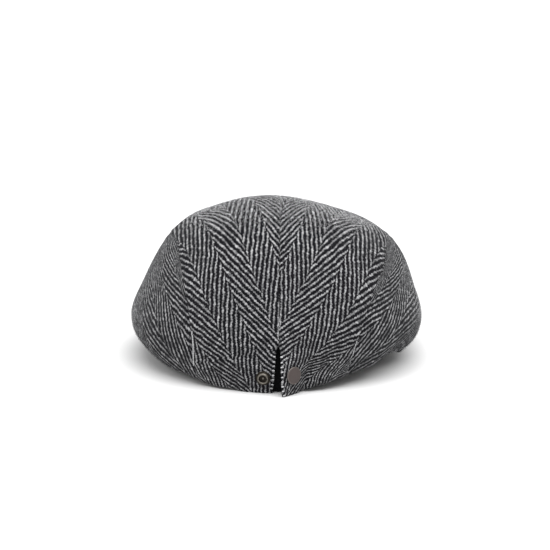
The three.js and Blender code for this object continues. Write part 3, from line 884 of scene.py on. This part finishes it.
def fuzzPiece(name, outer, normal, finish):
    count = fuzz["count"][name]
    a, b, c, d = outer[:-1, :-1], outer[1:, :-1], outer[1:, 1:], outer[:-1, 1:]
    facing = np.maximum(normal[..., 2:], fuzz["sideFacing"] * np.abs(normal[..., :1]))
    facingUp = np.clip(facing[:-1, :-1, 0] - fuzz["thickerFrom"], 0, 1)
    area = np.linalg.norm(np.cross(c - a, d - b), axis=-1)
    area = (area * (fuzz["plainShare"] + fuzz["topShare"] * facingUp)).ravel()
    cell = rng.choice(len(area), count, p=area / area.sum())
    i, j = np.divmod(cell, outer.shape[1] - 1)
    s, t = rng.random((2, count, 1))
    root = (1 - s) * ((1 - t) * outer[i, j] + t * outer[i, j + 1])
    root = root + s * ((1 - t) * outer[i + 1, j] + t * outer[i + 1, j + 1])
    up = normal[i, j]
    onTop = np.clip((facing[i, j] - fuzz["topFrom"]) / fuzz["topTurn"], 0, 1)
    for centre, axis in snapAxes:
        clear = np.linalg.norm(np.cross(root - centre, axis), axis=1) > fuzz["snapClear"]
        clear |= np.linalg.norm(root - centre, axis=1) > 2 * fuzz["snapClear"]
        root, up, onTop = root[clear], up[clear], onTop[clear]
    count = len(root)
    sideways = unit(np.cross(up, rng.normal(size=(count, 3))))
    forward = np.cross(sideways, up)
    lie = randomBetween(fuzz["lie"], count, fuzz["lieBias"])
    lie = np.radians(np.minimum(lie + fuzz["topLie"] * onTop, fuzz["steepest"]))
    length = randomBetween(fuzz["length"], count, fuzz["lengthBias"])
    half = sideways * randomBetween(fuzz["width"], count) / 2
    half = half * (1 + fuzz["topGrowth"] * onTop)
    bend = rng.normal(size=(count, 1)) * fuzz["bend"]
    # a fibre rises from its root and droops a little at its tip
    middle = root + length * (0.5 * np.cos(lie) * forward + 0.55 * np.sin(lie) * up)
    tip = root + length * (np.cos(lie) * forward + bend * sideways + (0.8 * np.sin(lie) - 0.1) * up)
    root = root - fuzz["sink"] * up
    points = np.stack([root - half, root + half, middle + half * 0.8, middle - half * 0.8, tip], 1)
    points = settled(points)
    first = np.arange(count)[:, None] * 5
    faces = (first + [0, 1, 2, 3]).tolist() + (first + [3, 2, 4]).tolist()
    cells = math.ceil(math.sqrt(count))
    corner = np.stack(np.divmod(np.arange(count), cells), -1)[:, None, :]
    shape = np.array([[0.15, 0.1], [0.85, 0.1], [0.85, 0.5], [0.15, 0.5], [0.5, 0.9]])
    # a fibre's shade is random, darkened as painted shade where its cloth faces sideways or down
    shade = fuzz["shadeSpan"] * rng.random((count, 1)) * (0.4 + 0.6 * np.clip(2 * up[:, 2:], 0, 1))
    # then lightened towards the light colour as painted light where the cloth faces up or sideways
    pale = np.where(up[:, 2:] > fuzz["paleAbove"], fuzz["topPaintedLight"], fuzz["sidePaintedLight"])
    shade = shade + pale * onTop * (1 - shade)
    strand = np.stack([np.repeat(shade, 5, 1), np.tile([0, 0, 0.5, 0.5, 1], (count, 1))], -1)
    uvs = {"OFBake": ((corner + shape) / cells).reshape(-1, 2), "strand": strand.reshape(-1, 2)}
    makePiece(name + "_fuzz", points.reshape(-1, 3), faces, [finish], (), uvs)


# Peak: cloth drawn over a stiff core

def peakPiece():
    angles = np.linspace(peak["startAngle"], 360 - peak["startAngle"], peak["roundCells"] + 1)
    root, edge, rootTop, edgeTop = peakLine(angles)
    span = np.linalg.norm(edge - root, axis=-1)
    outward = (edge - root) / span[:, None]
    radius = peak["thickness"] / 2
    noseShare = 1 - radius / span

    def onTop(share):
        height = peakTop(rootTop, edgeTop, share)
        fall = np.clip((share - (1 - peak["edgeSpan"])) / peak["edgeSpan"], 0, 1)
        return height - peak["edgeSoftening"] * fall ** 2

    loops, places = [], []

    def addLoop(distance, height, rolled):
        flat = root + outward * distance[:, None]
        loops.append(np.concatenate([flat, height[:, None]], -1))
        places.append(np.stack([flat[:, 0] + peak["columnOffset"], rolled], -1))

    steps = np.linspace(0, 1, peak["forwardCells"] + 1)
    for step in steps:
        share = noseShare * step
        addLoop(share * span, onTop(share), root[:, 1] + share * span)
    noseTop = onTop(noseShare)
    noseLow = peakTop(rootTop, edgeTop, noseShare) - peak["thickness"]
    middle, half = (noseTop + noseLow) / 2, (noseTop - noseLow) / 2
    for turn in np.linspace(90, -90, peak["noseCells"] + 1)[1:-1]:
        sine, cosine = math.sin(math.radians(turn)), math.cos(math.radians(turn))
        rolled = noseShare * span + radius * math.radians(90 - turn)
        addLoop(noseShare * span + radius * cosine, middle + half * sine, root[:, 1] + rolled)
    for step in steps[::-1]:
        share = noseShare * step
        height = peakTop(rootTop, edgeTop, share) - peak["thickness"]
        rolled = 2 * noseShare * span + radius * math.pi - share * span
        addLoop(share * span, height, root[:, 1] + rolled)
    points, index, after, layout = loopGrid(loops)
    faces = quads(index[:, :-1], index[:, 1:], after[:, 1:], after[:, :-1]).tolist()
    faces += [index[:, 0].tolist(), index[::-1, -1].tolist()]
    uvs = {"weave": np.array(places).reshape(-1, 2), "OFBake": layout}
    makePiece("peak_cover", points, faces, [peakTweed], ["peak"], uvs)


peakPiece()
print("cap: peak built")


# Sweatband: ribbed black band inside the hem

band = {
    "height": 34.0,
    "thickness": 1.2,
    "lift": 1.0,  # lower edge above the hem
    "topOffset": 0.4,
    "drop": 3.0,  # how much lower it runs over the peak
    "clearance": 0.3,
    "ribs": 500,
    "ribDepth": 0.16,
    "levels": 16,
    "rounding": 0.45,
    "dark": (0.0022, 0.0022, 0.0026),
    "light": (0.009, 0.009, 0.010),
    "grain": (2600, 2, 0.6),  # noise cells in a metre, detail and roughness
    "patches": (60, 2),
    "shares": (0.6, 0.4),  # of grain and patches in the tone
    "tone": (0.35, 0.7),
    "roughness": 0.95,
    "gloss": 0.1,
    "sheen": 0.03,
    "bump": 0.5,
    "bumpDepth": 0.2,
}


def bandMaterial():
    material, tree, shader = newMaterial("black_cloth")
    place = objectPlace(tree)
    grain = noise(tree, place, *band["grain"])["Fac"]
    patch = noise(tree, place, *band["patches"])["Fac"]
    tone = spread(tree, weighted(tree, *zip((grain, patch), band["shares"])), *band["tone"])
    finishCloth(shader, band, mixColours(tree, tone, band["dark"], band["light"]), grain)
    return material


def bandPiece():
    angles = np.arange(band["ribs"] * 2) * 180 / band["ribs"]
    chart = chartPoint(angles, 1)
    hem = ringPoint(chart)
    along = ringPoint(chartPoint(angles + 1, 1)) - ringPoint(chartPoint(angles - 1, 1))
    outward = unit(np.stack([along[:, 1], -along[:, 0], 0 * angles], -1))
    fromBack = np.degrees(np.abs(np.arctan2(chart[:, 0], -chart[:, 1])))
    share = np.clip((fromBack - peak["startAngle"]) / (180 - peak["startAngle"]), 0, 1)
    foot = foldedPoint(chart)[:, 2] + band["lift"] - band["drop"] * share ** 2 * (3 - 2 * share)
    rib = band["ribDepth"] * (np.arange(len(angles)) % 2)
    levels = np.linspace(0, 1, band["levels"])
    loops = []
    for inner in (False, True):
        for level in levels if not inner else levels[::-1]:
            height = level * band["height"]
            toEdge = min(height, band["height"] - height)
            inset = rounding(toEdge, band["rounding"])
            face = band["topOffset"] * level - crown["thickness"] - band["clearance"]
            face = face - band["thickness"] + inset + rib if inner else face - inset - rib
            point = hem + outward * np.broadcast_to(face, angles.shape)[:, None]
            point[:, 2] = foot + height
            loops.append(point)
    points, index, after, layout = loopGrid(loops)
    faces = quads(index, np.roll(index, -1, axis=1), np.roll(after, -1, axis=1), after)
    uvs = {"OFBake": layout}
    makePiece("sweatband_ribbed", points, faces, [bandMaterial()], ["sweatband"], uvs)


bandPiece()
print("cap: sweatband built")


# Press snap

snap = {
    "angle": 5.4,
    "studHeight": 11.6,
    "capHeight": 14.6,
    "segments": 72,
    # radius and height above the cloth, from the axis behind the cloth to the axis in front of it
    "stud": [
        (0, -2.95), (4.2, -2.95), (4.2, -2.15), (1.5, -2.15), (1.5, 0.15), (4.9, 0.15), (4.95, 0.6),
        (4.6, 0.95), (4.3, 0.75), (4.1, 0.85), (3.85, 1.75), (3.4, 2.2), (2.95, 2.3), (2.6, 1.9),
        (2.4, 0.5), (1.0, 0.4), (0.85, 0.9), (0.5, 1.15), (0, 1.2),
    ],
    "cap": [
        (0, -2.95), (1.8, -2.95), (1.8, -3.5), (2.2, -3.95), (4.0, -3.95), (4.4, -3.55), (4.4, -2.15),
        (1.5, -2.15), (1.5, 0.75), (5.7, 0.62), (5.95, 0.95), (5.9, 1.4), (5.55, 1.65), (5.15, 1.58),
        (4.6, 1.7), (3.0, 1.96), (1.5, 2.07), (0, 2.1),
    ],
    "studBright": [(2.55, 4.0), (0, 0.8)],  # radii between which the ring and button are worn bright
    "capBright": [(5.3, 6.2)],  # and the rim of the cap
    "brightAbove": 0.5,  # height above the cloth
    "wornEdge": (0.50, 0.62),  # how sharp an edge is where it starts to wear and where it is worn
    "scratches": (0.5, 0.85, 0, 0.4),
    "grain": (0.3, 0.7),
    "bump": 0.25,
    "bumpDepth": 0.08,
}


def buildWornMetal():
    values = {"Grain Size": 900.0, "Edge": 1.0}
    tree, given, out = newGroup("wornMetal", "Place", values, ("Wear", "Grain"))
    grain = noise(tree, given["Place"], given["Grain Size"], 4)["Fac"]
    pointed = addNode(tree, "NewGeometry", {})["Pointiness"]
    edge = calc(tree, "MULTIPLY", spread(tree, pointed, *snap["wornEdge"]), given["Edge"])
    scratches = spread(tree, grain, *snap["scratches"])
    setInputs(out, {"Wear": calc(tree, "ADD", edge, scratches), "Grain": grain})
    return tree


wornMetal = buildWornMetal()


def metalMaterial(name, look):
    material, tree, shader = newMaterial(name)
    values = {"Place": objectPlace(tree), "Grain Size": look["grain"], "Edge": look["edge"]}
    worn = placeGroup(tree, wornMetal, values)
    setInputs(shader, {
        "Base Color": mixColours(tree, worn["Wear"], look["base"], look["bright"]),
        "Roughness": spread(tree, worn["Grain"], *snap["grain"], *look["roughness"]),
        "Metallic": look["metallic"],
        "Normal": bump(tree, worn["Grain"], snap["bump"], snap["bumpDepth"]),
    })
    return material


agedBrass = metalMaterial("aged_brass", {
    "base": (0.014, 0.011, 0.008), "bright": (0.10, 0.08, 0.055), "grain": 1500, "edge": 0.8,
    "roughness": (0.35, 0.6), "metallic": 0.8,
})
ringBrass = metalMaterial("ring_brass", {
    "base": (0.115, 0.105, 0.09), "bright": (0.34, 0.32, 0.28), "grain": 1200, "edge": 0.8,
    "roughness": (0.28, 0.45), "metallic": 0.9,
})
brownMetal = metalMaterial("brown_metal", {
    "base": (0.062, 0.048, 0.045), "bright": (0.10, 0.083, 0.079), "grain": 1400, "edge": 0.0,
    "roughness": (0.40, 0.55), "metallic": 0.5,
})
brownRim = metalMaterial("brown_rim", {
    "base": (0.10, 0.086, 0.080), "bright": (0.24, 0.22, 0.20), "grain": 1400, "edge": 0.0,
    "roughness": (0.30, 0.45), "metallic": 0.7,
})


def softened(profile, radius=0.14, steps=4):
    # every corner of the profile becomes a short curve
    corners = np.array(profile, float)
    result = [corners[0]]
    for before, corner, after in zip(corners, corners[1:], corners[2:]):
        start = corner + (before - corner) * min(0.45, radius / np.linalg.norm(before - corner))
        end = corner + (after - corner) * min(0.45, radius / np.linalg.norm(after - corner))
        for t in np.linspace(0, 1, steps):
            result.append((1 - t) ** 2 * start + 2 * t * (1 - t) * corner + t * t * end)
    return np.array(result + [corners[-1]])


def snapPlace(side, height):
    chart = chartPoint(side * snap["angle"], reachAbove(side * snap["angle"], height))
    return settled(clothPoint(chart)), surfaceNormal(clothPoint, chart)


def snapPiece(name, side, half, materials, node):
    place, normal = snapPlace(side, snap[half + "Height"])
    sideways = unit(np.cross([0, 0, 1], normal))
    upward = np.cross(normal, sideways)
    outline = softened(snap[half])
    turns = np.arange(snap["segments"]) * 2 * math.pi / snap["segments"]
    points = [place + normal * outline[0, 1]]
    for radius, rise in outline[1:-1]:
        ring = np.cos(turns)[:, None] * sideways + np.sin(turns)[:, None] * upward
        points.extend(place + ring * radius + normal * rise)
    points.append(place + normal * outline[-1, 1])
    points = np.array(points)
    rings = np.arange(1, len(points) - 1).reshape(-1, snap["segments"])
    faces = roundFaces(rings, 0, len(points) - 1)
    middles = np.array([np.mean(points[face], axis=0) for face in faces]) - place
    out = np.linalg.norm(np.cross(middles, normal), axis=1)
    bright = sum((out > low) & (out < high) for low, high in snap[half + "Bright"])
    slots = np.where((bright > 0) & (middles @ normal > snap["brightAbove"]), 1, 0)
    makePiece(name, points, faces, materials, [node], None, slots)


snapPiece("snap_stud_ring", -1, "stud", [agedBrass, ringBrass], "snap_stud")
snapPiece("snap_cap_disc", 1, "cap", [brownMetal, brownRim], "snap_cap")
print("cap: press snap built")

snapAxes = [snapPlace(-1, snap["studHeight"]), snapPlace(1, snap["capHeight"])]
woolFibres = fuzzMaterial()
for panelName, (outerFace, outerNormal) in panels.items():
    fuzzPiece(panelName, outerFace, outerNormal, woolFibres)
print("cap: stray fibres built")


# Light yarns that stand out along the folded edges

yarnEnds = {
    "slit": {"spacing": 3.2, "inset": 0.75, "size": (0.95, 0.55, 0.42), "from": 2.0, "to": 28.0},
    "seam": {"spacing": 1.25, "inset": 1.0, "size": (0.85, 0.5, 0.42)},
    "seamLeft": (10.0, 36.0),  # millimetres above the hem, along the seam
    "seamRight": (14.0, 35.0),
    "light": (0.55, 0.55, 0.56),
    "dark": (0.22, 0.22, 0.225),
    "grain": (2400, 3),
    "tone": (0.35, 0.65),
    "roughness": 0.95,
    "gloss": 0.06,
    "bump": 0.6,
    "bumpDepth": 0.2,
    "jitter": 0.08,  # of the spacing
    "sizes": (0.8, 1.2),
    "round": 10,  # points round a grain, and degrees up it
    "rises": (-60, -25, 10, 45, 72),
}


def yarnMaterial():
    material, tree, shader = newMaterial("light_yarn")
    grain = noise(tree, objectPlace(tree), *yarnEnds["grain"])["Fac"]
    shade = spread(tree, grain, *yarnEnds["tone"])
    finishCloth(shader, yarnEnds, mixColours(tree, shade, yarnEnds["dark"], yarnEnds["light"]), grain)
    return material


def beadsAlong(chart, look, acrossAxis):
    # half-sunk grains of yarn along a line of chart points, long across it or along it
    points = clothPoint(chart)
    run = runLength(points, 0)
    spacing = look["spacing"]
    at = np.arange(spacing / 2, run[-1], spacing)
    at = at + rng.normal(size=len(at)) * spacing * yarnEnds["jitter"]

    def onLine(places, values):
        return np.stack([np.interp(places, run, column) for column in values.T], -1)

    chart = onLine(at, chart)
    place, normal = clothPoint(chart), surfaceNormal(clothPoint, chart)
    tangent = unit(onLine(at + 0.5, points) - onLine(at - 0.5, points))
    other = np.cross(normal, tangent)
    longAxis, shortAxis = (other, tangent) if acrossAxis else (tangent, other)
    sizes = [np.array(look["size"]) * rng.uniform(*yarnEnds["sizes"], 3) for _ in at]
    return list(zip(place, longAxis, shortAxis, normal, sizes))


def beadPiece(name, beads, finish):
    turns = np.linspace(0, 2 * math.pi, yarnEnds["round"], endpoint=False)
    rises = np.radians(yarnEnds["rises"])[:, None]
    flat = np.cos(rises)
    ring = np.stack([flat * np.cos(turns), flat * np.sin(turns), np.sin(rises) + 0 * turns], -1)
    ring = ring.reshape(-1, 3)
    shape = np.vstack([ring, [[0, 0, -1], [0, 0, 1]]])
    index = np.arange(len(ring)).reshape(len(rises), -1)
    faces = roundFaces(index, len(ring), len(ring) + 1)
    points, allFaces, layout = [], [], []
    cells = math.ceil(math.sqrt(len(beads)))
    for number, (place, longAxis, shortAxis, normal, size) in enumerate(beads):
        frameOf = np.stack([longAxis * size[0], shortAxis * size[1], normal * size[2]])
        start = number * len(shape)
        points.append(settled(place + shape @ frameOf))
        allFaces += [[start + corner for corner in face] for face in faces]
        flat = 0.5 + 0.4 * shape[:, :2] * (1.4 - 0.4 * shape[:, 2:]) / 1.8
        layout.append((np.array(divmod(number, cells)) + flat) / cells)
    makePiece(name, np.vstack(points), allFaces, [finish], (), {"OFBake": np.vstack(layout)})


def slitLine(side, inset, low, high):
    reach = np.array([reachAbove(0, height) for height in np.linspace(high, low, 60)])
    return np.stack([side * (slitHalf(reach) + inset) / chartUnit, -reach], -1)


def seamLine(side, inset, low, high):
    chart = seamCurve(side)(np.linspace(0, 0.6, 400))
    chart[:, 0] -= side * inset / chartUnit
    points = clothPoint(chart)
    run = runLength(points, 0)
    return chart[(run > low) & (run < high)]


lightYarn = yarnMaterial()
look = yarnEnds["slit"]
slitBeads = []
for side in (-1, 1):
    slitBeads += beadsAlong(slitLine(side, look["inset"], look["from"], look["to"]), look, True)
beadPiece("slit_yarn_ends", slitBeads, lightYarn)
look = yarnEnds["seam"]
seamBeads = []
for side, span in ((-1, yarnEnds["seamLeft"]), (1, yarnEnds["seamRight"])):
    seamBeads += beadsAlong(seamLine(side, look["inset"], *span), look, False)
beadPiece("seam_yarns", seamBeads, lightYarn)
print("cap: light yarns built")


# Floor, light and camera

stage = {
    "floorSize": 24.0,
    "floorColour": (0.64, 0.64, 0.64),
    "worldStrength": 0.95,
    "sunDirection": (0.18, -0.22, 1.0),  # towards the overhead light
    "sunStrength": 3.9,
    "sunSpread": 70.0,
    "softboxPlace": (-1.25, -0.90, 0.8),
    "softboxSize": 0.9,
    "softboxPower": 6.6,
    "lit": (0, 0, 0.05),  # where both lights point
    "elevation": 12.0,
    "distance": 1.5,
    "target": (-1.5, 0.0, 58.5),  # millimetres, from the crown's middle
    "lens": 138.3,
    "sensor": 36.0,
    "clip": (0.05, 60.0),
}


def buildStage():
    scene = bpy.context.scene
    half = stage["floorSize"] / 2
    mesh = bpy.data.meshes.new("floor")
    corners = [(-half, -half, 0), (half, -half, 0), (half, half, 0), (-half, half, 0)]
    mesh.from_pydata(corners, [], [(0, 1, 2, 3)])
    floor = bpy.data.objects.new("floor", mesh)
    scene.collection.objects.link(floor)
    material, _, shader = newMaterial("floor")
    colour = (*stage["floorColour"], 1)
    setInputs(shader, {"Base Color": colour, "Roughness": 0.9, "Specular IOR Level": 0.0})
    mesh.materials.append(material)

    world = bpy.data.worlds.new("studio")
    scene.world = world
    world.use_nodes = True
    background = world.node_tree.nodes["Background"]
    setInputs(background, {"Color": (1, 1, 1, 1), "Strength": stage["worldStrength"]})

    sun = bpy.data.lights.new("overheadLight", "SUN")
    sun.energy, sun.angle = stage["sunStrength"], math.radians(stage["sunSpread"])
    softbox = bpy.data.lights.new("frontSoftbox", "AREA")
    softbox.energy, softbox.shape, softbox.size = stage["softboxPower"], "SQUARE", stage["softboxSize"]
    middle = Vector(stage["lit"])
    sunPlace, softboxPlace = middle + Vector(stage["sunDirection"]), Vector(stage["softboxPlace"])
    for lamp, place in ((sun, sunPlace), (softbox, softboxPlace)):
        holder = bpy.data.objects.new(lamp.name, lamp)
        holder.location = place
        holder.rotation_euler = (middle - place).to_track_quat("-Z", "Y").to_euler()
        scene.collection.objects.link(holder)

    camera = bpy.data.cameras.new("camera")
    camera.lens = stage["lens"]
    camera.sensor_width = stage["sensor"]
    camera.clip_start, camera.clip_end = stage["clip"]
    eye = bpy.data.objects.new("camera", camera)
    scene.collection.objects.link(eye)
    target = Vector((np.array(stage["target"]) + frameShift) * mm)
    elevation = math.radians(stage["elevation"])
    back = Vector((0, -math.cos(elevation), math.sin(elevation)))
    eye.location = target + back * stage["distance"]
    eye.rotation_euler = (-back).to_track_quat("-Z", "Y").to_euler()
    scene.camera = eye
    scene.view_settings.view_transform = "Standard"


buildStage()
print("cap: stage built")
